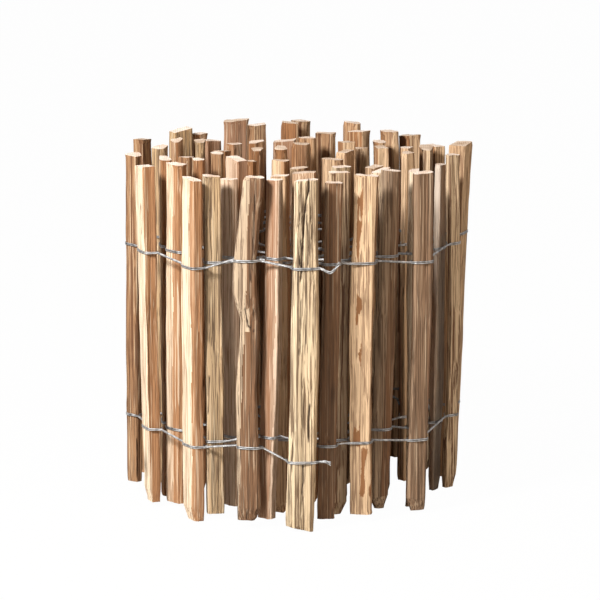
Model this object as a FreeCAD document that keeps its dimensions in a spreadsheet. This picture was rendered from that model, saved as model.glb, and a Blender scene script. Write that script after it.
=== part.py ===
"""Roll of split hazel fence: riven pales held by two rows of twisted wire.

The fence is wound clockwise, seen from above, from its loose end at the front (-Y) inwards, and
stands on the feet of its pales. Millimetres, +Z up, origin on the floor at the middle of the roll.
"""
import FreeCAD, Part
import math
import os

import Sketcher
from FreeCAD import Placement, Rotation, Vector

doc = FreeCAD.newDocument("HazelFenceRoll")

# Driving dimensions, in millimetres unless the note says otherwise

SIZES = {
    "pale_count": (65, "pales in the fence, a number"),
    "pale_length": (508, "length of an average pale"),
    "pale_width": (33, "width of an average pale, along the fence"),
    "pale_thickness": (22, "thickness of an average pale, through the fence"),
    "pale_spacing": (81.5, "from one pale to the next along the wires"),
    "foot_bevel": (20, "height over which an average foot tapers"),
    "foot_lift": (9, "how far a short pale's foot stays above the floor"),
    "core_radius": (33, "smallest radius that the stiff pales can be wound to"),
    "turn_gap": (2.6, "room between the wires of one turn and those of the next"),
    "core_slack": (4.5, "how much looser each turn lies than the one outside it"),
    "core_shift": (16, "how far the inner turns lie off the middle of the outer one"),
    "loose_end_angle": (-87, "direction of the loose end from the middle, in degrees"),
    "upper_wire_height": (388, "floor to the upper row of wire"),
    "lower_wire_height": (121, "floor to the lower row of wire"),
    "wire_sag": (10, "how far the wires may hang below their height at a pale"),
    "wire_side": (2.1, "side of a strand, which stands for a pair of thin wires"),
    "wire_clearance": (0.2, "between a strand's corners and the wood that it holds"),
    "wire_tail": (22, "length of the twisted tail past the first and the last pale"),
    "twist_share": (0.1, "share of a gap between pales that is left untwisted at each end, a number"),
}

sheet = doc.addObject("Spreadsheet::Sheet", "Sizes")
for row, (alias, (number, note)) in enumerate(SIZES.items(), start=1):
    sheet.set(f"A{row}", alias)
    sheet.set(f"B{row}", str(number))
    sheet.set(f"C{row}", note)
    sheet.setAlias(f"B{row}", alias)
doc.recompute()
size = {alias: float(sheet.get(alias)) for alias in SIZES}

# Outlines of a split pale, corners counterclockwise, in shares of its width and thickness. The
# side that looks out of the roll is towards -Y.

OUTLINES = {
    "flat": [(-0.5, -0.3), (-0.36, -0.48), (0.4, -0.5), (0.5, -0.2), (0.34, 0.5), (-0.32, 0.44)],
    "ridge": [(-0.5, 0.06), (-0.08, -0.5), (0.1, -0.46), (0.5, 0.12), (0.3, 0.5), (-0.3, 0.46)],
    "left_ridge": [(-0.5, 0.1), (-0.3, -0.46), (-0.14, -0.5), (0.5, 0.04), (0.36, 0.5), (-0.34, 0.4)],
    "right_ridge": [(-0.5, 0.02), (0.16, -0.5), (0.34, -0.46), (0.5, 0.14), (0.3, 0.44), (-0.32, 0.5)],
    "round": [(-0.5, -0.04), (-0.3, -0.4), (0.04, -0.5), (0.36, -0.36), (0.5, 0.06), (0.2, 0.5),
              (-0.36, 0.42)],
    "board": [(-0.5, -0.36), (0.46, -0.5), (0.5, 0.3), (-0.4, 0.5)],
}

# Feet: how far the outline shrinks towards the foot, and the point of the outline that it
# shrinks to, in shares of the width and thickness

FEET = {
    "square": (0.96, (0.1, 0.2)),
    "cut_left": (0.74, (0.42, 0.2)),
    "cut_right": (0.74, (-0.42, 0.2)),
    "cut_front": (0.78, (0.0, 0.46)),
    "point": (0.5, (0.06, 0.1)),
}

# The pales that show best, by their number from the loose end. Steps along the fence are shares of
# the spacing, offsets out of the roll and splays shares of the thickness, leans and bows shares of
# the width, drops of the upper and the lower wire shares of the sag, slants of the sawn foot and
# crown degrees. pale_traits() gives all that isn't said here.

SEEN = {
    1: dict(step=0.0, out=0.03, turn=0, width=1.24, depth=0.9, tall=1.027, lift=0.0, outline="flat",
            foot="square", lean=0.23, crown=0.84, wires=(-0.4, 1.6), slant=(14, -4)),
    2: dict(step=0.946, out=-0.24, turn=4, width=1.06, depth=0.95, tall=1.005, lift=1.4, outline="flat",
            foot="cut_right", lean=0.32, crown=0.82, wires=(-1.2, -0.2), slant=(0, 3),
            knees=((0.38, -0.22, 0.0, 0.9), (0.52, -0.1, 0.0, 0.88), (0.59, -0.03, 0.05, 0.74),
                   (0.67, -0.26, 0.0, 1.1), (0.76, -0.24, 0.0, 1.0))),
    3: dict(step=1.274, out=-0.17, turn=0, width=1.16, depth=0.96, tall=1.01, lift=0.0,
            outline="right_ridge", foot="cut_left", lean=0.1, splay=0.2, wires=(0.7, 0.8), slant=(0, 6)),
    4: dict(step=1.323, out=-0.04, turn=0, width=0.98, depth=0.94, tall=1.0, lift=1.0, outline="board",
            foot="cut_left", lean=-0.1, splay=0.3, crown=1.15, wires=(-0.1, -0.1), slant=(0, -5)),
    5: dict(step=1.189, out=0.08, turn=2, width=0.92, depth=0.95, tall=0.987, lift=1.75, outline="ridge",
            foot="square", lean=0.0, splay=-0.1, crown=1.15, wires=(0.6, 0.1)),
    6: dict(width=1.15, tall=1.018, slant=(0, -7)),
    7: dict(step=1.36, tall=1.019, slant=(0, 8)),
    8: dict(step=0.52, tall=1.01),
    9: dict(step=0.76, width=1.3, tall=1.024, crown=1.05, slant=(0, 4)),
    10: dict(step=1.23, tall=1.02, slant=(0, -5)),
    11: dict(tall=1.014, slant=(0, -6)),
    12: dict(step=1.24, width=1.2, tall=1.016),
    13: dict(step=0.83, width=1.08, tall=0.985),
    14: dict(step=0.92, out=0.06, turn=-25, width=0.98, depth=1.25, tall=1.02, lift=0.6, outline="board",
             foot="square", lean=0.0, splay=0.7, crown=1.05, wires=(0.1, 0.0)),
    15: dict(step=1.015, out=-0.17, turn=-4, width=1.02, depth=0.95, tall=1.0, lift=1.4, outline="ridge",
             foot="cut_right", lean=0.05, bulge=0.3, wires=(0.1, -0.3), slant=(0, 4)),
    16: dict(step=1.567, out=0.04, turn=-25, width=0.93, depth=0.9, tall=1.0, lift=0.6, outline="flat",
             foot="cut_left", lean=0.3, bow=0.1, crown=1.05, wires=(0.7, 0.7), slant=(0, -3)),
    17: dict(step=1.183, out=-0.2, turn=-8, width=1.12, depth=1.0, tall=0.997, lift=1.4,
             outline="right_ridge", foot="square", lean=0.19, bow=-0.14, wires=(-0.1, 0.0), slant=(0, 5)),
    18: dict(step=0.684, out=0.11, turn=-4, width=0.84, depth=0.86, tall=0.985, lift=1.3, outline="flat",
             foot="square", lean=0.4, wires=(-0.4, 0.0), slant=(0, 3)),
    19: dict(step=1.04, out=0.5, turn=0, width=0.86, depth=0.9, tall=0.993, lift=1.4, outline="right_ridge",
             foot="square", lean=0.45, bow=0.1, wires=(-1.3, -1.4), slant=(0, -4)),
    20: dict(step=1.118, out=0.42, turn=14, width=0.9, depth=0.92, tall=0.994, lift=1.1, outline="left_ridge",
             foot="square", lean=-0.15, bow=0.05, crown=0.95, wires=(0.2, 0.2), slant=(0, 4)),
    21: dict(step=1.11, out=0.03, turn=8, width=1.15, depth=0.95, tall=1.01, outline="flat", foot="square",
             lean=0.1),
    22: dict(step=0.556, out=0.05, turn=6, width=1.1, depth=1.0, tall=1.008, lift=1.0, outline="right_ridge",
             foot="square", lean=-0.15, wires=(-0.1, -0.1), slant=(0, 5)),
    24: dict(tall=1.028, slant=(0, 9)),
    26: dict(step=1.09, tall=1.022),
    27: dict(step=0.6, tall=1.02, slant=(0, -6)),
    28: dict(step=1.3),
    29: dict(step=0.74, width=1.1),
    30: dict(step=1.2, width=1.1),
    31: dict(step=1.1, out=0.24, turn=0, width=1.2, depth=0.86, tall=0.985, lift=0.3, outline="ridge",
             foot="cut_right", lean=-0.1, splay=0.4, wires=(1.2, 1.2), slant=(0, 5)),
    32: dict(step=1.18),
    33: dict(step=0.82, out=0.15, turn=-25, width=0.95, depth=0.92, tall=1.002, lift=1.0, outline="round",
             foot="point", lean=0.55, wires=(-0.2, -0.9), slant=(0, 6)),
    36: dict(out=0.15, tall=0.967, lift=1.5, foot="square", slant=(0, -5)),
    42: dict(step=0.84),
    43: dict(step=1.12),
    45: dict(tall=0.985, lift=2.4),
    48: dict(step=0.66, width=1.12, tall=1.01),
    49: dict(step=1.36),
}

OWN_NODES = 54
SLIP_IN = 0.07


def spread(number, seed, reach):
    """An even scatter between -reach and +reach, the same for a pale at every build."""
    return (2 * math.modf(number * 0.618034 + seed)[0] - 1) * reach


def pale_traits(number):
    """What sets one pale apart from the average one."""
    kinds = sorted(OUTLINES)
    cuts = sorted(FEET)
    stands = number % 4 == 0
    traits = dict(
        step=1 + spread(number, 0.1, 0.07),
        out=spread(number, 0.37, 0.04),
        turn=spread(number, 0.81, 12),
        width=0.96 + spread(number, 0.53, 0.16),
        depth=0.96 + spread(number, 0.29, 0.1),
        tall=1.002 + spread(number, 0.67, 0.02),
        lift=0.0 if stands else 1 + spread(number, 0.05, 0.3),
        outline=kinds[(number * 5 + number // 7) % len(kinds)],
        foot=cuts[(number * 3 + number // 5) % len(cuts)],
        lean=spread(number, 0.93, 0.2),
        bow=spread(number, 0.22, 0.08),
        splay=spread(number, 0.71, 0.08),
        bulge=0.0,
        crown=0.96 + spread(number, 0.44, 0.08),
        wires=(spread(number, 0.15, 0.3), spread(number, 0.6, 0.3)),
        slant=(0.0 if stands else spread(number, 0.33, 5), spread(number, 0.58, 7)),
        knees=None,
    )
    traits.update(SEEN.get(number, {}))
    return traits


# The roll: its radius falls by turn_pitch a turn, and most of that where the next turn slips
# in behind the loose end

turn_pitch = size["pale_thickness"] + 2 * (size["wire_side"] + size["wire_clearance"]) + size["turn_gap"]


def fence_radius(outer_radius, turns):
    """Radius of the fence's middle after so many turns from the loose end."""
    past = turns - SLIP_IN
    wound = past + math.sin(2 * math.pi * past) / (2 * math.pi)
    return outer_radius - turn_pitch * wound - size["core_slack"] * wound * abs(wound) / 2


def wind(outer_radius):
    """Radius and turns from the loose end of each pale; fewer pales if the core is reached."""
    turns = 0.0
    places = []
    while len(places) < size["pale_count"] and fence_radius(outer_radius, turns) > 0:
        step = pale_traits(len(places) + 1)["step"] * size["pale_spacing"]
        turns += step / fence_radius(outer_radius, turns) / (2 * math.pi)
        places.append((fence_radius(outer_radius, turns), turns))
    return places


def wound_tight():
    """The fence wound so that its last pale lies at the core's radius."""
    tight, loose = 0.0, size["pale_count"] * size["pale_spacing"]
    while loose - tight > size["wire_clearance"] / 100:
        middle = (tight + loose) / 2
        places = wind(middle)
        if len(places) < size["pale_count"] or places[-1][0] < size["core_radius"]:
            tight = middle
        else:
            loose = middle
    return wind(loose)


def place_pales():
    """Number, traits, centre and heading of each pale, from the loose end to the core."""
    pales = []
    for number, (radius, turns) in enumerate(wound_tight(), start=1):
        traits = pale_traits(number)
        angle = math.radians(size["loose_end_angle"]) - 2 * math.pi * turns
        radius += traits["out"] * size["pale_thickness"]
        shift = size["core_shift"] * turns / (turns + 1)
        centre = Vector(radius * math.cos(angle) + shift, radius * math.sin(angle), 0)
        pales.append((number, traits, centre, math.degrees(angle) + 90 + traits["turn"]))
    return pales


# Each pale is a ruled loft through level sketches, foot, ankle, one or more knees and crown,
# with its two ends sawn off at a slant


def pale_levels(traits):
    """Name, height as an expression, scale and centre of each level of a pale, from the foot up."""
    lift = f"Sizes.foot_lift * {traits['lift']}"
    shrink, (near_x, near_y) = FEET[traits["foot"]]
    knees = traits["knees"] or ((0.52, traits["bow"], -traits["bulge"], 1.0),)
    foot_x, foot_y = -traits["lean"] / 2, traits["splay"] / 2
    levels = [("foot", lift, shrink, foot_x + near_x * (1 - shrink), foot_y + near_y * (1 - shrink)),
              ("ankle", f"{lift} + Sizes.foot_bevel", 1.0, foot_x, foot_y)]
    for count, (share, aside, inward, scale) in enumerate(knees, start=1):
        levels.append((f"knee{count}", f"{lift} + Sizes.pale_length * {share}", scale, aside, inward))
    crown_height = f"{lift} + Sizes.pale_length * {traits['tall']}"
    levels.append(("crown", crown_height, traits["crown"], -foot_x, -foot_y))
    return levels


def corner_shares(traits, level):
    """Corners of a pale at one of its levels, in shares of the average width and thickness."""
    name, height, scale, aside, inward = level
    return [((x * scale + aside) * traits["width"], (y * scale + inward) * traits["depth"])
            for x, y in OUTLINES[traits["outline"]]]


def level_sketch(name, traits, level):
    """A closed outline at its height, every corner bound to the width and thickness."""
    sketch = doc.addObject("Sketcher::SketchObject", f"{name}_{level[0]}")
    sketch.setExpression("Placement.Base.z", level[1])
    shares = corner_shares(traits, level)
    corners = [Vector(x * size["pale_width"], y * size["pale_thickness"], 0) for x, y in shares]
    for here, there in zip(corners, corners[1:] + corners[:1]):
        sketch.addGeometry(Part.LineSegment(here, there), False)
    for edge, (x, y) in enumerate(shares):
        sketch.addConstraint(Sketcher.Constraint("Coincident", edge, 2, (edge + 1) % len(shares), 1))
        across = sketch.addConstraint(Sketcher.Constraint("DistanceX", -1, 1, edge, 1, corners[edge].x))
        through = sketch.addConstraint(Sketcher.Constraint("DistanceY", -1, 1, edge, 1, corners[edge].y))
        sketch.setExpression(f"Constraints[{across}]", f"Sizes.pale_width * {x:.9f}")
        sketch.setExpression(f"Constraints[{through}]", f"Sizes.pale_thickness * {y:.9f}")
    return sketch


def saw_block(name, traits, level, slant, upwards):
    """What a slanting saw cut takes off an end: it meets the end's highest or lowest corner."""
    shares = [x for x, y in corner_shares(traits, level)]
    pivot = min(shares) if slant * upwards > 0 else max(shares)
    block = doc.addObject("Part::Box", name)
    block.setExpression("Length", "Sizes.pale_width * 4")
    block.setExpression("Width", "Sizes.pale_width * 4")
    block.setExpression("Height", "Sizes.pale_width")
    spin = Rotation(Vector(0, 1, 0), slant)
    sunk = min(upwards, 0) * size["pale_width"]
    corner = spin.multVec(Vector(-2 * size["pale_width"], -2 * size["pale_width"], sunk))
    block.Placement = Placement(corner + Vector(pivot * size["pale_width"], 0, height_of(level[1])), spin)
    return block


def make_pale(number, traits, centre, heading):
    """One split pale, lofted with flat faces, sawn off and stood at its place in the roll."""
    name = f"pale_{number:02d}"
    levels = pale_levels(traits)
    split = doc.addObject("Part::Loft", f"{name}_split")
    split.Sections = [level_sketch(name, traits, level) for level in levels]
    split.Solid = True
    split.Ruled = True
    split.Linearize = True
    blocks = []
    for end, level, slant, upwards in (("foot", levels[0], traits["slant"][0], -1),
                                       ("crown", levels[-1], traits["slant"][1], 1)):
        if slant:
            blocks.append(saw_block(f"{name}_{end}_saw", traits, level, slant, upwards))
    sawn = doc.addObject("Part::Compound", f"{name}_saws")
    sawn.Links = blocks
    pale = doc.addObject("Part::Cut", name)
    pale.Base = split
    pale.Tool = sawn
    pale.Placement = Placement(centre, Rotation(Vector(0, 0, 1), heading))
    return pale


# Wires: each row is two strands that cross in a half twist between the pales, so that one
# passes outside a pale where the other passes inside it


def height_of(expression):
    """A level's height in numbers, for what is laid against the pales."""
    total = 0.0
    for term in expression.split(" + "):
        alias, _, share = term.partition(" * ")
        total += size[alias.removeprefix("Sizes.")] * float(share or 1)
    return total


def outline_at(traits, centre, heading, height):
    """Corners of a standing pale in the roll, at a height."""
    levels = pale_levels(traits)
    heights = [height_of(level[1]) for level in levels]
    last = len(levels) - 1
    above = next(index for index in range(1, last + 1) if height <= heights[index] or index == last)
    share = (height - heights[above - 1]) / (heights[above] - heights[above - 1])
    spin = Rotation(Vector(0, 0, 1), heading)
    corners = []
    for low, high in zip(corner_shares(traits, levels[above - 1]), corner_shares(traits, levels[above])):
        x = (low[0] + (high[0] - low[0]) * share) * size["pale_width"]
        y = (low[1] + (high[1] - low[1]) * share) * size["pale_thickness"]
        corners.append(centre + spin.multVec(Vector(x, y, 0)) + Vector(0, 0, height))
    return corners


def grown(corners, margin):
    """The outline of a pale moved out by a margin, where a strand's middle may run."""
    moved = []
    for before, here, after in zip(corners[-1:] + corners[:-1], corners, corners[1:] + corners[:1]):
        arriving = (here - before).normalize()
        leaving = (after - here).normalize()
        out = Vector(arriving.y + leaving.y, -arriving.x - leaving.x, 0).normalize()
        moved.append(here + out * (margin / out.dot(Vector(arriving.y, -arriving.x, 0))))
    return moved


def left_of(direction):
    """Out of the roll, for a way along the fence towards the core."""
    return Vector(-direction.y, direction.x, 0).normalize()


def wrap(start, end, corners, side):
    """The taut way from start to end round one side of a pale: +1 outside, -1 inside."""
    along = (end - start).normalize()
    across = left_of(along) * side
    bulging = [corner for corner in corners if (corner - start).dot(across) > 0]
    bulging.sort(key=lambda corner: (corner - start).dot(along))
    way = [start]
    for corner in bulging + [end]:
        while len(way) > 1 and (way[-1] - way[-2]).cross(corner - way[-1]).z * side >= 0:
            way.pop()
        way.append(corner)
    return way


def half_twist(start, end, side, over):
    """Three points of a strand that changes sides; over is +1 if it passes above the other."""
    radius = size["wire_side"] * 1.1
    out = left_of(end - start) * side * radius
    return [start + out, (start + end) / 2 + Vector(0, 0, over * radius), end - out]


def lay_row(pales, height, row):
    """Ways of the two strands of a row of wire, tail to tail."""
    half_diagonal = size["wire_side"] / math.sqrt(2)
    margin = half_diagonal + size["wire_clearance"]
    outlines = []
    for number, traits, centre, heading in pales:
        level = height - traits["wires"][row] * size["wire_sag"]
        outlines.append(grown(outline_at(traits, centre, heading, level), margin))
    middles = [sum(corners, Vector()) / len(corners) for corners in outlines]

    def reach(index, direction):
        """How far a pale stands out from its middle in a direction."""
        return max((corner - middles[index]).dot(direction) for corner in outlines[index])

    ways = [(there - here).normalize() for here, there in zip(middles, middles[1:])]
    gaps = []
    for index, along in enumerate(ways):
        start = middles[index] + along * reach(index, along)
        end = middles[index + 1] - along * reach(index + 1, -along)
        untwisted = (end - start) * size["twist_share"]
        gaps.append((start + untwisted, end - untwisted))
    for index, out in ((0, -ways[0]), (len(middles) - 1, ways[-1])):
        edge = middles[index] + out * reach(index, out)
        tail = out * size["wire_tail"]
        gaps.append((edge + tail * size["twist_share"], edge + tail))
    last = gaps.pop()
    first = gaps.pop()
    gaps = [first[::-1]] + gaps + [last]

    strands = []
    for over in (1, -1):
        side = -over
        points = half_twist(*gaps[0], side, over)
        for corners, gap in zip(outlines, gaps[1:]):
            side = -side
            twist = half_twist(*gap, side, over)
            points += wrap(points[-1], twist[0], corners, side)[1:-1] + twist
        strands.append(points)
    return strands


def flat_face(corners):
    """The flat face with these corners."""
    return Part.Face(Part.makePolygon(corners + corners[:1]))


def square_tube(points, side):
    """A mitred tube of square section along a way of straight runs."""
    runs = [(there - here).normalize() for here, there in zip(points, points[1:])]
    flank = left_of(runs[0]) * (side / 2)
    top = runs[0].cross(flank)
    rings = [[points[0] + flank * u + top * v for u, v in ((-1, -1), (1, -1), (1, 1), (-1, 1))]]
    for run, leaving, point in zip(runs, runs[1:] + runs[-1:], points[1:]):
        mitre = run + leaving
        rings.append([corner + run * ((point - corner).dot(mitre) / run.dot(mitre)) for corner in rings[-1]])
    faces = [flat_face(rings[0]), flat_face(rings[-1])]
    for near, far in zip(rings, rings[1:]):
        for this, following in ((0, 1), (1, 2), (2, 3), (3, 0)):
            faces.append(flat_face([near[this], near[following], far[following], far[this]]))
    shell = Part.makeShell(faces)
    shell.sewShape()
    return Part.makeSolid(shell)


def make_strand(label, points):
    """One strand of a row, from the tail at the loose end to the tail in the core."""
    strand = doc.addObject("Part::Feature", label)
    strand.Shape = square_tube(points, size["wire_side"])
    return strand


def centred(pales):
    """The same pales, moved so that the middle of the box round all of them is over the origin."""
    corners = []
    for number, traits, centre, heading in pales:
        for level in pale_levels(traits):
            corners += outline_at(traits, centre, heading, height_of(level[1]))
    middle = Vector(min(corner.x for corner in corners) + max(corner.x for corner in corners),
                    min(corner.y for corner in corners) + max(corner.y for corner in corners), 0) / 2
    return [(number, traits, centre - middle, heading) for number, traits, centre, heading in pales]


# Build the pales, gather the innermost ones in one node, and lay the wires

pales = centred(place_pales())
nodes = []
innermost = []
for pale in pales:
    if pale[0] <= OWN_NODES:
        nodes.append(make_pale(*pale))
    else:
        innermost.append(make_pale(*pale))
core = doc.addObject("Part::Compound", "core_pales")
core.Links = innermost
nodes.append(core)
for row, row_name in enumerate(("upper", "lower")):
    ways = lay_row(pales, size[f"{row_name}_wire_height"], row)
    for strand_name, points in zip(("outer_first", "inner_first"), ways):
        nodes.append(make_strand(f"{row_name}_wire_{strand_name}", points))
doc.recompute()

for thing in doc.Objects:
    if "Invalid" in thing.State or "Error" in thing.State:
        raise RuntimeError(f"{thing.Label} failed to build")
for node in nodes:
    if node.Shape.isNull() or not node.Shape.isValid():
        raise RuntimeError(f"{node.Label} is not a sound solid")

os.makedirs("parts", exist_ok=True)
for node in nodes:
    node.Shape.exportStep(f"parts/{node.Label}.step")
print(f"{len(pales)} pales, {len(nodes)} nodes, turn pitch {turn_pitch:.1f} mm")
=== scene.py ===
# %% [markdown]
# # A roll of split hazel fence
#
# Hazel poles are split along the grain into pales, and the pales are tied side by side with two rows
# of twisted galvanised wire. The finished fence is rolled up and stands on the feet of its pales.
#
# The CAD model gives every pale its place, its length and its main facets. This scene gives each
# pale the torn surface that splitting leaves, and each row of wire its four real wires.

import math

import bmesh
import bpy
from mathutils import Matrix, Vector, geometry, noise
from mathutils.bvhtree import BVHTree


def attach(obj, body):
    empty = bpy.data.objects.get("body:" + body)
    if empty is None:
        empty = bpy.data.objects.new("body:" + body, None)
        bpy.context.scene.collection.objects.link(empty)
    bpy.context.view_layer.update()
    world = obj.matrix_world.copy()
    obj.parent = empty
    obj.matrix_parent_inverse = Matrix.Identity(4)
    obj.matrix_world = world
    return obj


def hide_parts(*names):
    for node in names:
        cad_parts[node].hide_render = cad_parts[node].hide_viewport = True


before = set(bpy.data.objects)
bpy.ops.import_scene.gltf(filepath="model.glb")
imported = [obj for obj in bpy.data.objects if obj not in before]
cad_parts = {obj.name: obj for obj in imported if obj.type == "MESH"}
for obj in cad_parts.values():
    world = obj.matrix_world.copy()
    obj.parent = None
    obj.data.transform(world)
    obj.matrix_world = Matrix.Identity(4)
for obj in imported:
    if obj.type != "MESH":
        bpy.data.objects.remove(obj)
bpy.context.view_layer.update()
pale_nodes = sorted(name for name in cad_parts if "pale" in name)

# %% [markdown]
# ## Where the photographer stood
#
# The camera comes first. The pales hardly lean
# together towards the floor, so the picture was taken from far away with a long lens. The tops of the
# back pales stand higher in the picture than those of the front ones, which gives the height of the
# camera, twelve degrees above the horizon.

# %% Camera
LOOK_AT = Vector((0.0010, 0.0092, 0.290))
DISTANCE = 6.1
ELEVATION = math.radians(12)
HALF_FRAME_PIXELS = 300
FOCAL_PIXELS = 4050

camera = bpy.data.objects.new("Camera", bpy.data.cameras.new("Camera"))
bpy.context.scene.collection.objects.link(camera)
bpy.context.scene.camera = camera
camera.data.angle = 2 * math.atan(HALF_FRAME_PIXELS / FOCAL_PIXELS)
camera.data.clip_end = 100
towards_camera = Vector((0, -math.cos(ELEVATION), math.sin(ELEVATION)))
camera.location = LOOK_AT + towards_camera * DISTANCE
camera.rotation_euler = (-towards_camera).to_track_quat("-Z", "Y").to_euler()
print(f"lens {camera.data.lens:.0f} mm")

# %% [markdown]
# ## Light and floor
#
# The photograph is a studio shot on white. The left faces of the pales are cream and the right ones
# deep brown, so one large lamp stands to the left, in front and above, and a weak one to the right
# keeps the shaded faces readable. The floor is white to the camera and still takes a soft shadow.

# %% Lamps and world
def add_lamp(name, azimuth, elevation, distance, width, power, colour):
    """A square area lamp that looks at the middle of the roll."""
    data = bpy.data.lights.new(name, "AREA")
    data.size = width
    data.energy = power
    data.color = colour
    lamp = bpy.data.objects.new(name, data)
    turn, rise = math.radians(azimuth), math.radians(elevation)
    away = Vector((math.sin(turn) * math.cos(rise), -math.cos(turn) * math.cos(rise), math.sin(rise)))
    lamp.location = Vector((0, 0, 0.3)) + away * distance
    lamp.rotation_euler = (-away).to_track_quat("-Z", "Y").to_euler()
    bpy.context.scene.collection.objects.link(lamp)


add_lamp("Key", -41, 39, 3.0, 0.6, 174, (1.0, 0.985, 0.96))
add_lamp("Fill", 50, 25, 3.0, 1.6, 28, (1.0, 0.80, 0.61))

world = bpy.data.worlds.new("Studio")
bpy.context.scene.world = world
world.use_nodes = True
shades = world.node_tree.nodes
links = world.node_tree.links
seen_white = shades.new("ShaderNodeBackground")
seen_white.inputs["Color"].default_value = (1, 1, 1, 1)
soft_light = shades["Background"]
soft_light.inputs["Color"].default_value = (1.0, 0.70, 0.47, 1)
soft_light.inputs["Strength"].default_value = 0.03
ray = shades.new("ShaderNodeLightPath")
either = shades.new("ShaderNodeMath")
either.operation = "MAXIMUM"
links.new(ray.outputs["Is Camera Ray"], either.inputs[0])
links.new(ray.outputs["Is Glossy Ray"], either.inputs[1])
choose = shades.new("ShaderNodeMixShader")
links.new(either.outputs[0], choose.inputs[0])
links.new(soft_light.outputs[0], choose.inputs[1])
links.new(seen_white.outputs[0], choose.inputs[2])
links.new(choose.outputs[0], shades["World Output"].inputs["Surface"])

scene = bpy.context.scene
scene.view_settings.view_transform = "Standard"

# %% White floor
floor_form = bmesh.new()
bmesh.ops.create_grid(floor_form, x_segments=1, y_segments=1, size=40)
floor_mesh = bpy.data.meshes.new("Floor")
floor_form.to_mesh(floor_mesh)
floor_form.free()
floor = bpy.data.objects.new("Floor", floor_mesh)
scene.collection.objects.link(floor)

floor_paint = bpy.data.materials.new("White floor")
floor_paint.use_nodes = True
shades = floor_paint.node_tree.nodes
links = floor_paint.node_tree.links
matt = shades["Principled BSDF"]
matt.inputs["Base Color"].default_value = (0.62, 0.60, 0.57, 1)
matt.inputs["Roughness"].default_value = 1.0
matt.inputs["Specular IOR Level"].default_value = 0.0
white = shades.new("ShaderNodeEmission")
white.inputs["Strength"].default_value = 1.0
ray = shades.new("ShaderNodeLightPath")
mostly = shades.new("ShaderNodeMath")
mostly.operation = "MULTIPLY"
mostly.inputs[1].default_value = 0.985
links.new(ray.outputs["Is Camera Ray"], mostly.inputs[0])
blend_floor = shades.new("ShaderNodeMixShader")
links.new(mostly.outputs[0], blend_floor.inputs[0])
links.new(matt.outputs[0], blend_floor.inputs[1])
links.new(white.outputs[0], blend_floor.inputs[2])
links.new(blend_floor.outputs[0], shades["Material Output"].inputs["Surface"])
floor_mesh.materials.append(floor_paint)

# %% [markdown]
# ## What riven wood looks like
#
# A pale shows three kinds of surface. The riven faces follow the fibres, so they are streaked along
# the pale, cream where the sapwood is and brown towards the heart. The sawn ends are pale and rough
# across the fibres. On some pales a strip of bark is left. One function makes the material from the
# colours of a pale, and all patterns read Object coordinates that are drawn out along the height,
# because every pale stands upright.

# %% Node helpers for the wood
def connect(tree, kind, **inputs):
    """Adds a shader node, sets its properties and inputs, and links what is given as a socket."""
    node = tree.nodes.new(kind)
    for name, value in inputs.items():
        name = name.replace("_", " ")
        if name.startswith("set "):
            setattr(node, name[4:].replace(" ", "_"), value)
            continue
        numbered = name.startswith("in") and name[2:].isdigit()
        socket = node.inputs[int(name[2:]) if numbered else name]
        if isinstance(value, bpy.types.NodeSocket):
            tree.links.new(value, socket)
        else:
            socket.default_value = value
    return node


def streaks(tree, across, along, detail=3.0, distortion=0.0, shift=0.0):
    """Noise drawn out along the pale: cells per metre across and along the grain."""
    place = connect(tree, "ShaderNodeTexCoord").outputs["Object"]
    drawn = connect(tree, "ShaderNodeMapping", Vector=place, Location=(shift, shift * 0.7, shift * 0.3),
                    Scale=(across, across, along))
    return connect(tree, "ShaderNodeTexNoise", Vector=drawn.outputs[0], Scale=1.0, Detail=detail,
                   Roughness=0.6, Distortion=distortion).outputs["Fac"]


def between(tree, share, low, high):
    """Spreads the part of a value between low and high over 0 to 1."""
    spread_out = connect(tree, "ShaderNodeMapRange", Value=share)
    spread_out.inputs["From Min"].default_value = low
    spread_out.inputs["From Max"].default_value = high
    return spread_out.outputs["Result"]


def mixed(tree, share, first, second):
    """One colour or another, by share."""
    mix = tree.nodes.new("ShaderNodeMix")
    mix.data_type = "RGBA"
    for socket, value in ((mix.inputs[0], share), (mix.inputs[6], first), (mix.inputs[7], second)):
        if isinstance(value, bpy.types.NodeSocket):
            tree.links.new(value, socket)
        else:
            socket.default_value = value
    return mix.outputs[2]


def sums(tree, operation, first, second):
    """A sum, product or other operation on two values."""
    return connect(tree, "ShaderNodeMath", set_operation=operation, in0=first, in1=second).outputs[0]


def scaled_sum(tree, value, factor, added):
    """A value times a factor, plus another."""
    return connect(tree, "ShaderNodeMath", set_operation="MULTIPLY_ADD",
                   in0=value, in1=factor, in2=added).outputs[0]


def marked(tree, name):
    """A value that the modelling left on the mesh."""
    return connect(tree, "ShaderNodeAttribute", set_attribute_name=name).outputs["Fac"]


# %% Riven wood
BARK = (0.24, 0.108, 0.042, 1)
# Near black: painted shade in cracks and grooves, and the dark of knot eyes and stains
SHADE_AND_STAIN_DARK = (0.022, 0.009, 0.004, 1)
GREY = (0.33, 0.27, 0.21, 1)


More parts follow.
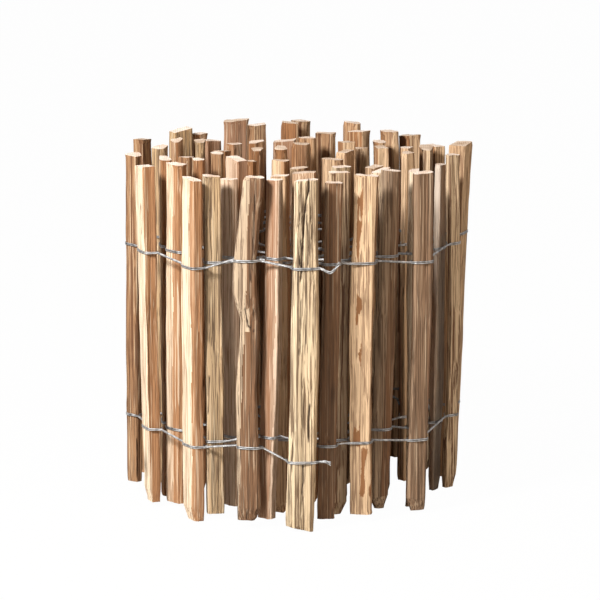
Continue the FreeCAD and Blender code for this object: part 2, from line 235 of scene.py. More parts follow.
def riven_wood(name, sap, heart, stripe, stripes, shift, weathered=0.0, grey=GREY):
    """Split wood: sap and heart colours, darker stripes along the grain, and weathering."""
    wood = bpy.data.materials.new(name)
    wood.use_nodes = True
    tree = wood.node_tree
    surface = tree.nodes["Principled BSDF"]

    def lines(across, along, low, high, offset, detail, distortion=0.0):
        """Streaks where the noise lies between low and high."""
        return between(tree, streaks(tree, across, along, detail, distortion, shift + offset), low, high)

    broad = sums(tree, "SUBTRACT", streaks(tree, 26, 1.6, detail=2, distortion=0.4, shift=shift), 0.5)
    # The facet share read here is heartwood together with painted shade on facets that face right or into
    # the roll
    tone = sums(tree, "ADD", marked(tree, "heartwood_and_shade"), broad)
    base = mixed(tree, between(tree, tone, 0.0, 1.0), sap, heart)

    coarse = lines(270, 3.4, 0.54, 0.572, offset=3, detail=4, distortion=0.5)
    base = mixed(tree, sums(tree, "MULTIPLY", coarse, stripes), base, stripe)
    fine = lines(520, 6, 0.525, 0.56, offset=7, detail=3, distortion=0.2)
    base = mixed(tree, sums(tree, "MULTIPLY", fine, 0.42 + 0.42 * stripes), base, stripe)
    pale_line = lines(430, 5, 0.57, 0.66, offset=11, detail=2)
    base = mixed(tree, sums(tree, "MULTIPLY", pale_line, 0.6), base, sap)

    if weathered:
        patch = lines(18, 3.2, 0.35, 0.65, offset=19, detail=4)
        base = mixed(tree, sums(tree, "MULTIPLY", patch, weathered), base, grey)

    specks = streaks(tree, 230, 55, detail=4, distortion=0.8, shift=shift + 23)
    flecks = sums(tree, "ADD", specks, marked(tree, "bark"))
    base = mixed(tree, between(tree, flecks, 0.93, 1.00), base, BARK)
    # Painted shade in cracks and grooves, and the dark of knot eyes and stains
    base = mixed(tree, marked(tree, "split"), base, SHADE_AND_STAIN_DARK)
    tree.links.new(base, surface.inputs["Base Color"])
    surface.inputs["Roughness"].default_value = 0.72
    surface.inputs["Specular IOR Level"].default_value = 0.32

    fibres = streaks(tree, 760, 16, detail=4, distortion=0.2, shift=shift + 5)
    grooves = streaks(tree, 240, 5, detail=3, distortion=0.5, shift=shift + 3)
    height = scaled_sum(tree, grooves, 1.6, fibres)
    bump = connect(tree, "ShaderNodeBump", Strength=0.9, Distance=0.0012, Height=height)
    tree.links.new(bump.outputs[0], surface.inputs["Normal"])
    return wood


# %% Sawn end grain
def sawn_end(name, light, dark):
    """The pale, rough end of a pale: rings, pores and saw marks."""
    wood = bpy.data.materials.new(name)
    wood.use_nodes = True
    tree = wood.node_tree
    surface = tree.nodes["Principled BSDF"]
    place = connect(tree, "ShaderNodeTexCoord").outputs["Object"]
    rings = connect(tree, "ShaderNodeTexWave", set_wave_type="BANDS", Vector=place, Scale=95.0,
                    Distortion=5.0, Detail=3.0, Detail_Scale=1.4).outputs["Fac"]
    pores = connect(tree, "ShaderNodeTexNoise", Vector=place, Scale=900.0, Detail=3.0).outputs["Fac"]
    blotch = connect(tree, "ShaderNodeTexNoise", Vector=place, Scale=60.0, Detail=3.0).outputs["Fac"]
    base = mixed(tree, between(tree, blotch, 0.35, 0.75), light, dark)
    base = mixed(tree, sums(tree, "MULTIPLY", rings, 0.22), base, dark)
    base = mixed(tree, sums(tree, "MULTIPLY", between(tree, pores, 0.5, 0.7), 0.3), base, dark)
    # Painted shade in cracks, and dark stains
    base = mixed(tree, marked(tree, "split"), base, SHADE_AND_STAIN_DARK)
    tree.links.new(base, surface.inputs["Base Color"])
    surface.inputs["Roughness"].default_value = 0.85
    surface.inputs["Specular IOR Level"].default_value = 0.25
    rough = sums(tree, "ADD", pores, rings)
    bump = connect(tree, "ShaderNodeBump", Strength=0.6, Distance=0.0006, Height=rough)
    tree.links.new(bump.outputs[0], surface.inputs["Normal"])
    return wood


# %% The finishes of this roll
CREAM = (0.77, 0.63, 0.465, 1)
TAN = (0.64, 0.45, 0.28, 1)
BROWN = (0.22, 0.10, 0.042, 1)
DEEP_BROWN = (0.115, 0.048, 0.020, 1)
SILVER = (0.50, 0.45, 0.39, 1)
DUSK = (0.15, 0.088, 0.05, 1)

finishes = {
    "fresh": riven_wood("Riven wood fresh", CREAM, (0.37, 0.185, 0.085, 1), BROWN,
                        stripes=0.45, shift=0.0),
    "tan": riven_wood("Riven wood tan", TAN, (0.31, 0.145, 0.06, 1), DEEP_BROWN,
                      stripes=0.5, shift=2.0),
    "striped": riven_wood("Riven wood striped", (0.66, 0.50, 0.33, 1), (0.30, 0.165, 0.082, 1), DEEP_BROWN,
                          stripes=0.9, shift=4.0),
    "ochre": riven_wood("Riven wood ochre", (0.72, 0.57, 0.38, 1), (0.46, 0.30, 0.155, 1),
                        (0.11, 0.06, 0.028, 1), stripes=0.85, shift=6.0, weathered=0.15),
    "rosy": riven_wood("Riven wood rosy", (0.65, 0.49, 0.36, 1), (0.33, 0.185, 0.11, 1), BROWN,
                       stripes=0.45, shift=8.0),
    "dusky": riven_wood("Riven wood dusky", (0.60, 0.46, 0.32, 1), (0.19, 0.095, 0.046, 1),
                        (0.06, 0.033, 0.018, 1), stripes=0.7, shift=10.0, weathered=0.4, grey=DUSK),
    "silvered": riven_wood("Riven wood silvered", (0.72, 0.56, 0.42, 1), (0.42, 0.25, 0.14, 1), BROWN,
                           stripes=0.6, shift=12.0, weathered=0.6, grey=SILVER),
}
ends = {
    "light": sawn_end("Sawn end light", (0.84, 0.74, 0.66, 1), (0.58, 0.42, 0.31, 1)),
    "worn": sawn_end("Sawn end worn", (0.70, 0.57, 0.46, 1), (0.40, 0.27, 0.18, 1)),
}
print(f"{len(finishes)} finishes of riven wood, {len(ends)} of sawn ends")

# %% [markdown]
# ## From facets to a torn surface
#
# Each CAD pale is a prism of a few flat facets. A copy of it is welded, and its arrises are bevelled,
# because split wood has no razor edge. Planes then cut it along the grain and across it, which gives
# small even faces without any loose point, and every point is moved a little along its normal: long
# waves, ledges where the split jumped from one fibre to the next, and grooves between the fibres.
# Moving points is what a sculptor's brush does, and the noise here is drawn out along the pale, as the
# Every facet also gets its share of heartwood, which the material reads, together with painted shade:
# darker on the facets that face right, away from the lamp, and on those that face into the roll.

# %% A welded copy of a CAD pale, one mesh a solid
WELD = 1e-5


def smooth_step(value, low, high):
    """0 below low, 1 above high, and smooth between."""
    share = min(1, max(0, (value - low) / (high - low)))
    return share * share * (3 - 2 * share)


def welded_solids(node):
    """The separate solids of a CAD node, each as a bmesh of flat facets, in the same order each run."""
    form = bmesh.new()
    form.from_mesh(node.data)
    bmesh.ops.remove_doubles(form, verts=form.verts[:], dist=WELD)
    bmesh.ops.dissolve_limit(form, angle_limit=math.radians(1.0), verts=form.verts[:], edges=form.edges[:])
    form.verts.index_update()
    left = dict.fromkeys(form.verts)
    forms = []
    while left:
        solid = set()
        waiting = [left.popitem()[0]]
        while waiting:
            vert = waiting.pop()
            solid.add(vert.index)
            for edge in vert.link_edges:
                other = edge.other_vert(vert)
                if other in left:
                    del left[other]
                    waiting.append(other)
        single = form.copy()
        others = [vert for vert in single.verts if vert.index not in solid]
        bmesh.ops.delete(single, geom=others, context="VERTS")
        forms.append(single)
    form.free()
    return forms


# %% How a pale lies in the roll
class Stance:
    """Directions and ends of one pale: out of the roll, along the fence, foot and crown."""

    END_ZONE = 0.03

    def __init__(self, form):
        heights = [vert.co.z for vert in form.verts]
        self.foot_z, self.crown_z = min(heights), max(heights)
        feet = [vert.co for vert in form.verts if vert.co.z < self.foot_z + self.END_ZONE]
        crowns = [vert.co for vert in form.verts if vert.co.z > self.crown_z - self.END_ZONE]
        self.foot = sum(feet, Vector()) / len(feet)
        self.crown = sum(crowns, Vector()) / len(crowns)
        middle = (self.foot + self.crown) / 2
        self.out = Vector((middle.x, middle.y, 0)).normalized()
        self.along = Vector((-self.out.y, self.out.x, 0))

    def axis(self, height):
        """The middle of the pale at a height."""
        share = (height - self.foot_z) / (self.crown_z - self.foot_z)
        return self.foot.lerp(self.crown, share)

    def aside(self, point):
        """How far a point lies to the right of the middle, seen from outside the roll."""
        return (point - self.axis(point.z)).dot(self.along)


# %% Arrises and a fine net of faces
ARRIS = 0.0011
BLUNTEST_ARRIS = math.radians(12)
STEEP = 0.7


def cut_across(form, place, direction):
    """Cuts every face of the form along a plane."""
    everything = form.verts[:] + form.edges[:] + form.faces[:]
    bmesh.ops.bisect_plane(form, geom=everything, dist=2e-5, plane_co=place, plane_no=direction)


def net_of_faces(form, stance, across, along):
    """Bevels the arrises and cuts the facets along the grain and across it."""
    upright = [edge for edge in form.edges
               if abs((edge.verts[0].co - edge.verts[1].co).normalized().z) > STEEP]
    arrises = [edge for edge in upright if edge.calc_face_angle(0) > BLUNTEST_ARRIS]
    bmesh.ops.bevel(form, geom=arrises, offset=ARRIS, segments=1, profile=0.5, affect="EDGES", material=-1)
    middle = (stance.foot + stance.crown) / 2
    for direction in (stance.along, stance.out):
        reaches = [(vert.co - middle).dot(direction) for vert in form.verts]
        cuts = int((max(reaches) - min(reaches)) / across)
        for cut in range(1, cuts):
            place = min(reaches) + (max(reaches) - min(reaches)) * cut / cuts
            cut_across(form, middle + direction * place, direction)
    rings = int((stance.crown_z - stance.foot_z) / along)
    for ring in range(1, rings):
        height = stance.foot_z + (stance.crown_z - stance.foot_z) * ring / rings
        cut_across(form, (0, 0, height), (0, 0, 1))


# %% Heartwood, sapwood and painted shade on the facets
# How much darker the facets that face into the roll are made: painted shade in the gaps between pales
INNER_PAINTED_SHADE = 0.45
TONE_SCATTER = 0.35


def tone_facets(form, stance, left_tone, right_tone, seed):
    """Gives every riven facet its share of heartwood and painted shade, and every sawn one the end
    material.
    """
    heartwood_and_shade = form.faces.layers.float.new("heartwood_and_shade")
    for count, face in enumerate(form.faces):
        if abs(face.normal.z) > STEEP:
            face.material_index = 1
        else:
            # Facets that face right, away from the lamp, get a darker tone: partly the wood's own brown
            # side, partly painted shade
            to_right = smooth_step(face.normal.dot(stance.along), -0.65, 0.65)
            # Facets that face into the roll are darkened: painted shade
            inwards = max(0, -face.normal.dot(stance.out))
            scatter = noise.noise(Vector((seed * 3.7, count * 1.9, 0.5))) * TONE_SCATTER
            side_tone = left_tone + (right_tone - left_tone) * to_right
            face[heartwood_and_shade] = side_tone + INNER_PAINTED_SHADE * inwards + scatter


# %% The torn surface
# Cells per metre across the fibres and along them, and how far each kind of noise moves a point
SAW_MARKS, SAW_DEPTH = (95, 95), 0.0009
LONG_WAVES, LONG_HEIGHT = (20, 7), 0.0021
SHORT_WAVES, SHORT_HEIGHT = (55, 22), 0.0010
LEDGES, LEDGE_HEIGHT, LEDGE_COUNT = (75, 2.6), 0.00042, 4
GROOVES, GROOVE_DEPTH, GROOVE_WIDTH = (130, 3.4), 0.0011, 0.16
GROOVED_PARTS = (30, 5)
END_MARGIN = 0.004


def fibre_noise(point, cells, away):
    """Noise drawn out along the pale."""
    across, along = cells
    return noise.noise(Vector((point.x * across, point.y * across, point.z * along)) + away)


def tear(form, stance, seed, waves, grooves):
    """Moves every point along its normal: long waves, ledges and grooves that follow the fibres."""
    form.normal_update()
    split = form.verts.layers.float.new("split")
    form.verts.layers.float.new("bark")
    away = Vector((seed * 5.3, seed * 2.9, seed * 1.7))
    for vert in form.verts:
        here, normal = vert.co, vert.normal
        ends = min(1, (here.z - stance.foot_z) / END_MARGIN, (stance.crown_z - here.z) / END_MARGIN)
        if abs(normal.z) > STEEP:
            shift = fibre_noise(here, SAW_MARKS, away) * SAW_DEPTH
        else:
            shift = fibre_noise(here, LONG_WAVES, away) * LONG_HEIGHT * waves
            shift += fibre_noise(here, SHORT_WAVES, away) * SHORT_HEIGHT * waves
            rise = fibre_noise(here, LEDGES, -away) * LEDGE_COUNT
            shift += (math.floor(rise) + smooth_step(rise % 1, 0.3, 0.7)) * LEDGE_HEIGHT * grooves
            lines = abs(fibre_noise(here, GROOVES, away))
            where = smooth_step(fibre_noise(here, GROOVED_PARTS, -away), -0.25, 0.35)
            groove = max(0, 1 - lines / GROOVE_WIDTH) * where * grooves
            shift -= groove * GROOVE_DEPTH
            # The deepest grooves are painted dark: painted shade
            vert[split] = min(1, max(0, groove - 0.55)) * 0.8
        vert.co += Vector((normal.x, normal.y, 0)) * shift * ends
        if normal.z > STEEP:
            vert.co.z += shift
        elif normal.z < -STEEP:
            vert.co.z += abs(shift)


# %% Splits, knots and bark on the pales that show
def open_split(form, stance, path, width, depth):
    """A crack on the outer side, along a path of (height, aside), its floor painted dark as shade. All in
    millimetres.
    """
    split = form.verts.layers.float["split"]
    points = [(aside / 1000, height / 1000) for height, aside in sorted(path)]
    for vert in form.verts:
        if vert.normal.dot(stance.out) < 0.2 and vert.normal.z < STEEP:
            continue
        if not points[0][1] - 0.01 < vert.co.z < points[-1][1] + 0.01:
            continue
        here = Vector((stance.aside(vert.co), vert.co.z, 0))
        nearest = 1.0
        for start, end in zip(points, points[1:]):
            low, high = Vector((*start, 0)), Vector((*end, 0))
            foot, share = geometry.intersect_point_line(here, low, high)
            near = low.lerp(high, min(1, max(0, share)))
            nearest = min(nearest, (here - near).length)
        inside = max(0, 1 - nearest * 1000 / width)
        vert.co -= stance.out * inside * depth / 1000
        # The floor of the crack is painted dark: painted shade
        vert[split] = max(vert[split], smooth_step(inside, 0.15, 0.7))


def grow_knot(form, stance, height, aside, radius):
    """A small knot on the outer side: a swelling with a dark eye. Millimetres."""
    split = form.verts.layers.float["split"]
    for vert in form.verts:
        if vert.normal.dot(stance.out) < 0.0:
            continue
        sideways = (stance.aside(vert.co) * 1000 - aside) / radius
        upwards = (vert.co.z * 1000 - height) / (radius * 1.3)
        far = math.hypot(sideways, upwards)
        if far < 3:
            bulge = 0.0014 * math.exp(-far * far / 2) - 0.001 * math.exp(-far * far * 8)
            vert.co += stance.out * bulge
            vert[split] = max(vert[split], 0.75 * math.exp(-far * far * 5))


def leave_bark(form, stance, low, high, left, right, seed):
    """Flecks of bark between two heights and two distances aside, in millimetres."""
    bark = form.verts.layers.float["bark"]
    for vert in form.verts:
        height, aside = vert.co.z * 1000, stance.aside(vert.co) * 1000
        if low < height < high and left < aside < right and vert.normal.dot(stance.out) > -0.3:
            patch = noise.noise(Vector((vert.co.x * 90, vert.co.y * 90, vert.co.z * 26 + seed)))
            from_ends = min(height - low, high - height) / 12
            from_sides = min(aside - left, right - aside) / 2
            share = max(0, min(1, from_ends, from_sides)) * smooth_step(patch, -0.3, 0.3) * 0.66
            vert[bark] = max(vert[bark], share)
            vert.co += vert.normal * share * 0.0008


def smudge(form, stance, height, aside, radius, share):
    """A dark stain, longer than wide, with no change of form. Millimetres."""
    split = form.verts.layers.float["split"]
    for vert in form.verts:
        sideways = (stance.aside(vert.co) * 1000 - aside) / radius
        upwards = (vert.co.z * 1000 - height) / (radius * 3)
        vert[split] = max(vert[split], share * math.exp(-sideways ** 2 - upwards ** 2))


def bare_strip(form, stance, low, high, left, right, tone):
    """A strip of one tone, such as sapwood, with a ragged edge along the grain. Millimetres."""
    heartwood_and_shade = form.faces.layers.float["heartwood_and_shade"]
    for face in form.faces:
        place = face.calc_center_median()
        ragged = noise.noise(Vector((place.x * 60, place.y * 60, place.z * 18))) * 3.5
        if low < place.z * 1000 < high and left < stance.aside(place) * 1000 + ragged < right:
            if face.normal.dot(stance.out) > -0.3:
                face[heartwood_and_shade] = tone


def swell(form, stance, amount):
    """A pale that split a little wider towards one side: right if amount is above zero. Millimetres."""
    reach = max(abs(stance.aside(vert.co)) for vert in form.verts)
    for vert in form.verts:
        share = stance.aside(vert.co) / reach
        if share * amount > 0:
            vert.co += stance.along * (share * share * amount / 1000)


def lift_splinter(form, stance, low, high, aside, out):
    """A long splinter that has sprung loose from one side, thick below and thin above. Millimetres."""
    foot = stance.axis(low / 1000) + stance.along * (aside / 1000) + stance.out * (out / 1000)
    tip = stance.axis(high / 1000) + stance.along * (aside * 1.25 / 1000) + stance.out * (out * 1.3 / 1000)
    way = tip - foot
    stand = Matrix.LocRotScale((foot + tip) / 2, way.to_track_quat("Z", "Y"), None)
    bmesh.ops.create_cone(form, cap_ends=True, segments=4, radius1=0.0016, radius2=0.0003,
                          depth=way.length, matrix=stand)


def ease_bend(form, stance, low, high, passes):
    """Rounds a bend between two heights: each point moves between its neighbours along the grain."""
    columns = []
    for vert in form.verts:
        if low < vert.co.z * 1000 < high:
            around = [edge.other_vert(vert) for edge in vert.link_edges]
            in_line = [other for other in around
                       if abs(other.co.z - vert.co.z) > 0.8 * (other.co - vert.co).length]
            above = max(in_line, key=lambda other: other.co.z, default=vert)
            below = min(in_line, key=lambda other: other.co.z, default=vert)
            if above.co.z > vert.co.z > below.co.z:
                columns.append((vert, above, below))
    for _ in range(passes):
        moved = [(vert, (above.co.xy + below.co.xy) / 2) for vert, above, below in columns]
        for vert, place in moved:
            vert.co.xy = vert.co.xy.lerp(place, 0.8)


# %% [markdown]
# ## Each pale by itself
#
# The pales at the front differ in ways that anyone would notice: one has a knee where a branch
# grew, one is full of dark splits, one still wears flecks of bark. They are described one by one,
# and the pales that hardly show take their look from their number. One list gives the finish of each
# and another its marks, so that a mark can be moved without touching the code that makes it.

# %% Looks of the pales
# Face size across the grain and along it, in metres, for the pales that show and for the others
CLOSE_NET = (0.0014, 0.0055)
PLAIN_NET = (0.0027, 0.0085)

# Finish, sawn end, heartwood and painted shade at the left and at the right, strength of the waves and of
# the grooves
LOOKS = {
    "pale_01": ("ochre", "light", 0.0, 0.6, 0.8, 1.5),
    "pale_02": ("dusky", "light", -0.7, 2.0, 1.6, 1.4),
    "pale_03": ("fresh", "light", -0.3, 1.3, 0.8, 0.8),
    "pale_04": ("fresh", "light", -1.5, 1.5, 1.2, 0.9),
    "pale_05": ("striped", "light", 0.75, 1.3, 0.9, 1.3),
    "pale_14": ("tan", "worn", 0.3, 0.9, 0.8, 1.1),
    "pale_15": ("striped", "light", -0.2, 0.9, 1.3, 1.3),
    "pale_16": ("dusky", "light", 0.6, 1.4, 0.6, 1.1),
    "pale_17": ("tan", "light", -1.8, 0.5, 1.4, 0.5),
    "pale_18": ("dusky", "light", 0.8, 1.4, 0.6, 0.6),
    "pale_19": ("rosy", "light", 1.1, 0.1, 0.7, 0.6),
    "pale_20": ("ochre", "light", 0.0, 1.0, 1.0, 1.3),
    "pale_21": ("fresh", "light", -1.3, 1.2, 1.1, 0.9),
    "pale_22": ("tan", "light", -0.2, 1.2, 1.2, 0.9),
    "pale_31": ("silvered", "light", -1.2, -0.5, 1.0, 1.0),
    "pale_33": ("dusky", "light", 0.5, 1.3, 0.7, 0.9),
    "pale_36": ("rosy", "light", -1.4, -0.6, 0.7, 0.7),
}
COMMON = ("fresh", "tan", "striped", "rosy", "tan", "ochre", "striped", "tan")

# %% Marks of single pales, in the order in which they are made
MARKS = {
    "pale_01": (
        (open_split, ([(522, 3), (506, 3), (492, 0), (478, -1.5), (450, -2.5), (415, -4), (375, -5)],
                      2.0, 3.2)),
        (open_split, ([(500, -9), (478, -8), (455, -9), (430, -8), (400, -8.5), (352, -9)], 1.1, 1.5)),
        (open_split, ([(486, -4), (462, -5.5), (440, -5.5), (395, -7)], 1.0, 1.4)),
        (open_split, ([(478, 0), (462, 2), (446, 4), (428, 5), (396, 5)], 1.1, 1.5)),
        (open_split, ([(470, 7), (455, 8.5), (440, 9), (420, 8)], 1.0, 1.1)),
        (open_split, ([(392, 1), (370, 2), (335, 4), (280, 5)], 1.1, 1.3)),
        (open_split, ([(345, -4), (320, -3), (262, -5)], 1.0, 1.1)),
        (open_split, ([(190, 12), (165, 11), (140, 12)], 2.6, 1.6)),
        (open_split, ([(60, 4), (78, 6), (100, 5)], 1.4, 1.8)),
    ),
    "pale_02": (
        (ease_bend, (200, 400, 16)),
        (bare_strip, (325, 530, -30, -7, -0.5)),
        (bare_strip, (0, 325, -30, -11, -0.2)),
        (bare_strip, (298, 330, -14, -3, -0.3)),
        (open_split, ([(330, -9), (305, -4), (296, 4)], 1.6, 1.6)),
        (open_split, ([(500, 2), (440, 1), (370, -1)], 1.1, 1.3)),
    ),
    "pale_03": (
        (lift_splinter, (285, 352, 15, 6)),
        (bare_strip, (0, 530, -30, 1, -0.3)),
        (bare_strip, (0, 530, 1, 30, 1.0)),
    ),
    "pale_04": ((open_split, ([(418, 5), (458, 4)], 1.3, 1.6)), (smudge, (62, -4, 5, 0.7))),
    "pale_15": ((lift_splinter, (95, 165, 12, 5)),),
    "pale_16": ((smudge, (300, 13, 3, 0.5)), (smudge, (220, 13, 3, 0.5))),
    "pale_17": (
        (leave_bark, (100, 515, -19, -8, 3)),
        (leave_bark, (60, 520, 7, 19, 5)),
        (open_split, ([(300, 6), (380, 7), (500, 8)], 1.4, 1.2)),
        (leave_bark, (30, 122, -12, 12, 6)),
    ),
    "pale_18": ((grow_knot, (130, 1, 5)), (smudge, (200, 6, 5, 0.5))),
    "pale_19": ((bare_strip, (0, 530, 6, 30, 0.0)),),
    "pale_20": ((grow_knot, (446, -1, 3)), (open_split, ([(165, 0), (215, 2)], 1.4, 1.8))),
    "pale_21": ((bare_strip, (0, 530, 4, 30, 1.1)),),
    "pale_42": ((swell, (2.5,)),),
    "pale_48": ((swell, (4.5,)),),
    "pale_53": ((swell, (-2.5,)),),
}
print(f"{len(LOOKS)} looks and {len(MARKS)} sets of marks set by hand")

# %% One piece for a CAD node
CORE_NUMBER = 60
SHARP_EDGE = math.radians(42)
PLAIN_TONES = (-0.05, 1.15)
PLAIN_TEAR = (1.1, 1.1)

standing = []


def dress(name, solids, net):
    """One piece for a CAD node of pales, with its looks, standing where the node stands."""
    whole = bmesh.new()
    number = int(name[5:]) if name[5:].isdigit() else CORE_NUMBER
    common = COMMON[(number * 3) % len(COMMON)]
    plain = (common, "light" if number % 3 else "worn", *PLAIN_TONES, *PLAIN_TEAR)
    finish, end, left_tone, right_tone, waves, grooves = LOOKS.get(name, plain)
    for count, form in enumerate(solids):
        seed = number * 1.37 + count * 7.7
        stance = Stance(form)
        facets = BVHTree.FromBMesh(form)
        tone_facets(form, stance, left_tone, right_tone, seed)
        net_of_faces(form, stance, *net)
        tear(form, stance, seed, waves, grooves)
        for mark, details in MARKS.get(name, ()):
            form.normal_update()
            mark(form, stance, *details)
        for edge in form.edges:
            edge.smooth = edge.calc_face_angle(0) < SHARP_EDGE
        for face in form.faces:
            face.smooth = True
        standing.append((facets, [vert.co.copy() for vert in form.verts]))
        part = bpy.data.meshes.new("part")
        form.to_mesh(part)
        whole.from_mesh(part)
        bpy.data.meshes.remove(part)
        form.free()
    mesh = bpy.data.meshes.new(f"riven_{name}")
    whole.to_mesh(mesh)
    whole.free()
    mesh.materials.append(finishes[finish])
    mesh.materials.append(ends[end])
    piece = bpy.data.objects.new(f"riven_{name}", mesh)
    scene.collection.objects.link(piece)
    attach(piece, "root")
    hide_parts(name)
    return piece


# %% Dress every pale
triangles = 0
for name in pale_nodes:
    close = name in LOOKS
    piece = dress(name, welded_solids(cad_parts[name]), CLOSE_NET if close else PLAIN_NET)
    piece.data.calc_loop_triangles()
    triangles += len(piece.data.loop_triangles)
print(f"{len(pale_nodes)} riven pieces, {triangles} triangles")

# %% [markdown]
# ## Four wires in each row
#
# Each row is made by a machine that twists two pairs of thin galvanised wires: one pair passes in
# front of a pale and the other behind it, and between the pales all four are twisted into a short
# rope. A single swept rope would look too smooth, so every wire gets its own line. The CAD strands
# say in which order the pales come and how high the row is at each. The wires are then laid taut
# round the torn wood, as the machine pulls them, and the twist is a helix worked out by a loop.

# %% Galvanised steel
def galvanised():
    """Dull zinc: grey, with darker and lighter patches along the wire."""
    zinc = bpy.data.materials.new("Galvanised wire")
    zinc.use_nodes = True
    tree = zinc.node_tree
    surface = tree.nodes["Principled BSDF"]
    place = connect(tree, "ShaderNodeTexCoord").outputs["Object"]
    bloom = connect(tree, "ShaderNodeTexNoise", Vector=place, Scale=160.0, Detail=4.0).outputs["Fac"]
    spangle = connect(tree, "ShaderNodeTexNoise", Vector=place, Scale=1400.0, Detail=2.0).outputs["Fac"]
    base = mixed(tree, between(tree, bloom, 0.35, 0.65), (0.18, 0.18, 0.185, 1), (0.50, 0.505, 0.515, 1))
    dark_spots = sums(tree, "MULTIPLY", between(tree, spangle, 0.5, 0.7), 0.5)
    base = mixed(tree, dark_spots, base, (0.07, 0.065, 0.06, 1))
    tree.links.new(base, surface.inputs["Base Color"])
    surface.inputs["Metallic"].default_value = 0.7
    tree.links.new(scaled_sum(tree, bloom, 0.3, 0.35), surface.inputs["Roughness"])
    bump = connect(tree, "ShaderNodeBump", Strength=0.3, Distance=0.0002, Height=spangle)
    tree.links.new(bump.outputs[0], surface.inputs["Normal"])
    return zinc


zinc = galvanised()

# %% The order of the pales along a strand, and the height of the row at each
REACH = 0.0016


def steps_from(start):
    """How many edges away from one point each point of a strand lies."""
    steps = {start: 0}
    waiting = [start]
    for vert in waiting:
        for edge in vert.link_edges:
            other = edge.other_vert(vert)
            if other not in steps:
                steps[other] = steps[vert] + 1
                waiting.append(other)
    return steps


def pales_along(node):
    """The points of each pale in the order of the strand, with the strand's height at the pale."""
    form = bmesh.new()
    form.from_mesh(node.data)
    bmesh.ops.remove_doubles(form, verts=form.verts[:], dist=WELD)
    in_core = min(form.verts, key=lambda vert: vert.co.xy.length)
    steps = steps_from(in_core)
    steps = steps_from(max(steps, key=steps.get))
    found = []
    for facets, points in standing:
        touching = [vert for vert in steps if facets.find_nearest(vert.co, REACH)[0]]
        order = sorted(steps[vert] for vert in touching)[len(touching) // 2]
        height = sum(vert.co.z for vert in touching) / len(touching)
        found.append((order, height, points))
    form.free()
    found.sort(key=lambda entry: entry[0])
    return [(height, points) for order, height, points in found]


# %% What the wires go round
WIRE_RADIUS = 0.0009
BAND = 0.005
EIGHT_WAYS = [Vector((math.cos(turn), math.sin(turn))) for turn in map(math.radians, range(0, 360, 45))]


class Girth:
    """The outline of a pale at the height of the wires, grown by the wire's radius."""

    def __init__(self, height, points):
        self.height = height
        grown = []
        for point in points:
            if abs(point.z - height) < BAND:
                grown += [point.xy + way * WIRE_RADIUS for way in EIGHT_WAYS]
        self.corners = [grown[index] for index in geometry.convex_hull_2d(grown)]
        self.middle = sum(self.corners, Vector((0, 0))) / len(self.corners)

    def edge_towards(self, way, stand_off):
        """The place where the twist begins, beside the pale."""
        reach = max((corner - self.middle).dot(way) for corner in self.corners)
        return self.middle + way * (reach + stand_off)


def outside(way):
    """Out of the roll, for a way along the fence towards the core."""
    return Vector((-way.y, way.x))


def taut(start, end, corners, side):
    """The shortest way from start to end round one side of an outline."""
    way = (end - start).normalized()
    across = outside(way) * side
    bulging = sorted((corner for corner in corners if (corner - start).dot(across) > 0
                      and 0 < (corner - start).dot(way) < (end - start).length),
                     key=lambda corner: (corner - start).dot(way))
    line = [start]
    for corner in bulging + [end]:
        while len(line) > 1 and (line[-1] - line[-2]).cross(corner - line[-1]) * side >= 0:
            line.pop()
        line.append(corner)
    return line


# %% The twist between two pales
ROPE_RADIUS = 0.0013
HALF_TURN = 0.0085
TWIST_POINTS = 6


def spoke(out, turn):
    """From the middle of the rope towards a wire at an angle."""
    return out * math.cos(turn) + Vector((0, 0, math.sin(turn)))


def twist(start, end, side, rank, hand):
    """One wire of the rope: it leaves on one side and height and arrives on the other."""
    run = end - start
    way = run.xy.normalized()
    out = Vector((*outside(way), 0))
    half_turns = max(1, 2 * round((run.length / HALF_TURN - 1) / 2) + 1)
    first = math.atan2(rank, side)
    line = []
    for count in range(half_turns * TWIST_POINTS + 1):
        share = count / (half_turns * TWIST_POINTS)
        turn = first + hand * math.pi * half_turns * share
        line.append(start + run * share + spoke(out, turn) * ROPE_RADIUS)
    return line


# %% Loose tails at both ends of a row
# Way along the fence and way up, in metres from where the twist begins, by row and end
TAILS = {
    ("upper", "loose"): [(0.0, 0.0), (0.007, -0.0035), (0.0135, -0.0075), (0.0195, -0.0015),
                         (0.027, 0.0085)],
    ("lower", "loose"): [(0.0, 0.0), (0.006, 0.0015), (0.012, 0.001), (0.018, -0.001)],
    ("upper", "core"): [(0.0, 0.0), (0.006, -0.001), (0.013, 0.003)],
    ("lower", "core"): [(0.0, 0.0), (0.006, 0.0005), (0.012, -0.003)],
}
FRAY = 0.0016
TAIL_TURN = math.radians(75)
LONG_TAIL = 4


def tail(start, way, bends, side, rank):
    """One wire of a tail: the four are twisted at first and part towards their cut ends."""
    out = Vector((*outside(way), 0))
    cut_short = side + rank < 0 and len(bends) > LONG_TAIL
    line = []
    for count, (along, up) in enumerate(bends[:-1] if cut_short else bends):
        turn = math.atan2(rank, side) + count * TAIL_TURN
        apart = ROPE_RADIUS + FRAY * count / len(bends) * (1 + 0.4 * side)
        line.append(start + Vector((*(way * along), up)) + spoke(out, turn) * apart)
    return line


# %% One wire from its loose end to the core
STAND_OFF = 0.003
POINT_GAP = 0.0021
ROUNDINGS = 2
WIRE_STEP = 1.3


def evened(line):
    """The same line with even steps and rounded corners, as a stiff wire bends."""
    even = [line[0]]
    for point in line[1:]:
        run = point - even[-1]
        while run.length > POINT_GAP:
            even.append(even[-1] + run.normalized() * POINT_GAP)
            run = point - even[-1]
    even.append(line[-1])
    for _ in range(ROUNDINGS):
        even = even[:1] + [(a + b * 2 + c) / 4 for a, b, c in zip(even, even[1:], even[2:])] + even[-1:]
    return even


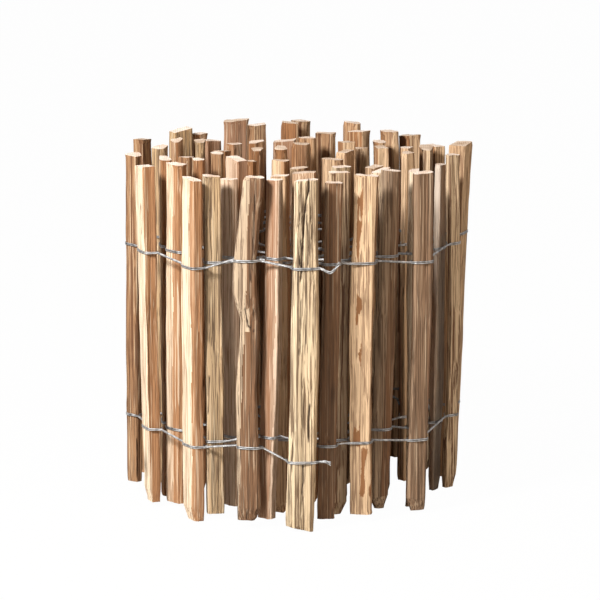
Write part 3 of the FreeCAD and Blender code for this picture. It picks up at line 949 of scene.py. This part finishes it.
def run_wire(row, girths, side, rank):
    """The middle line of one wire: tail, round each pale and through each twist, tail."""
    ways = [(there.middle - here.middle).normalized() for here, there in zip(girths, girths[1:])]
    first_start = Vector((*girths[0].edge_towards(-ways[0], STAND_OFF), girths[0].height))
    line = tail(first_start, -ways[0], TAILS[row, "loose"], side, rank)[::-1]
    for count, girth in enumerate(girths):
        way = ways[min(count, len(ways) - 1)]
        leave = Vector((*girth.edge_towards(way, STAND_OFF), girth.height))
        if count == len(girths) - 1:
            onward = tail(leave, way, TAILS[row, "core"], side, rank)
        else:
            there = girths[count + 1]
            arrive = Vector((*there.edge_towards(-way, STAND_OFF), there.height))
            onward = twist(leave, arrive, side, rank, 1 if count % 2 else -1)
        level = girth.height + rank * WIRE_RADIUS * WIRE_STEP
        round_pale = taut(line[-1].xy, onward[0].xy, girth.corners, side)[1:-1]
        line += [Vector((*place, level)) for place in round_pale]
        line += onward
        side, rank = -side, -rank
    return evened(line)


# %% Draw the wires of both rows
def draw_wires(name, node_name, lines):
    """The two wires that one CAD strand stands for, as one piece."""
    curve = bpy.data.curves.new(name, "CURVE")
    curve.dimensions = "3D"
    curve.bevel_depth = WIRE_RADIUS
    curve.bevel_resolution = 1
    curve.use_fill_caps = True
    for line in lines:
        spline = curve.splines.new("POLY")
        spline.points.add(len(line) - 1)
        for point, place in zip(spline.points, line):
            point.co = (*place, 1)
    drawn = bpy.data.objects.new(f"{name}_line", curve)
    mesh = bpy.data.meshes.new_from_object(drawn)
    bpy.data.objects.remove(drawn)
    mesh.materials.clear()
    mesh.materials.append(zinc)
    for face in mesh.polygons:
        face.use_smooth = True
    piece = bpy.data.objects.new(name, mesh)
    scene.collection.objects.link(piece)
    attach(piece, "root")
    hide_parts(node_name)
    return piece


for row in ("upper", "lower"):
    outer_node = f"{row}_wire_outer_first"
    girths = [Girth(height, points) for height, points in pales_along(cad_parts[outer_node])]
    for side, strand in ((1, "outer_first"), (-1, "inner_first")):
        lines = [run_wire(row, girths, side, rank) for rank in (1, -1)]
        piece = draw_wires(f"{row}_wires_{strand}", f"{row}_wire_{strand}", lines)
        piece.data.calc_loop_triangles()
        print(f"{piece.name}: {len(lines)} wires round {len(girths)} pales, "
              f"{len(piece.data.loop_triangles)} triangles")
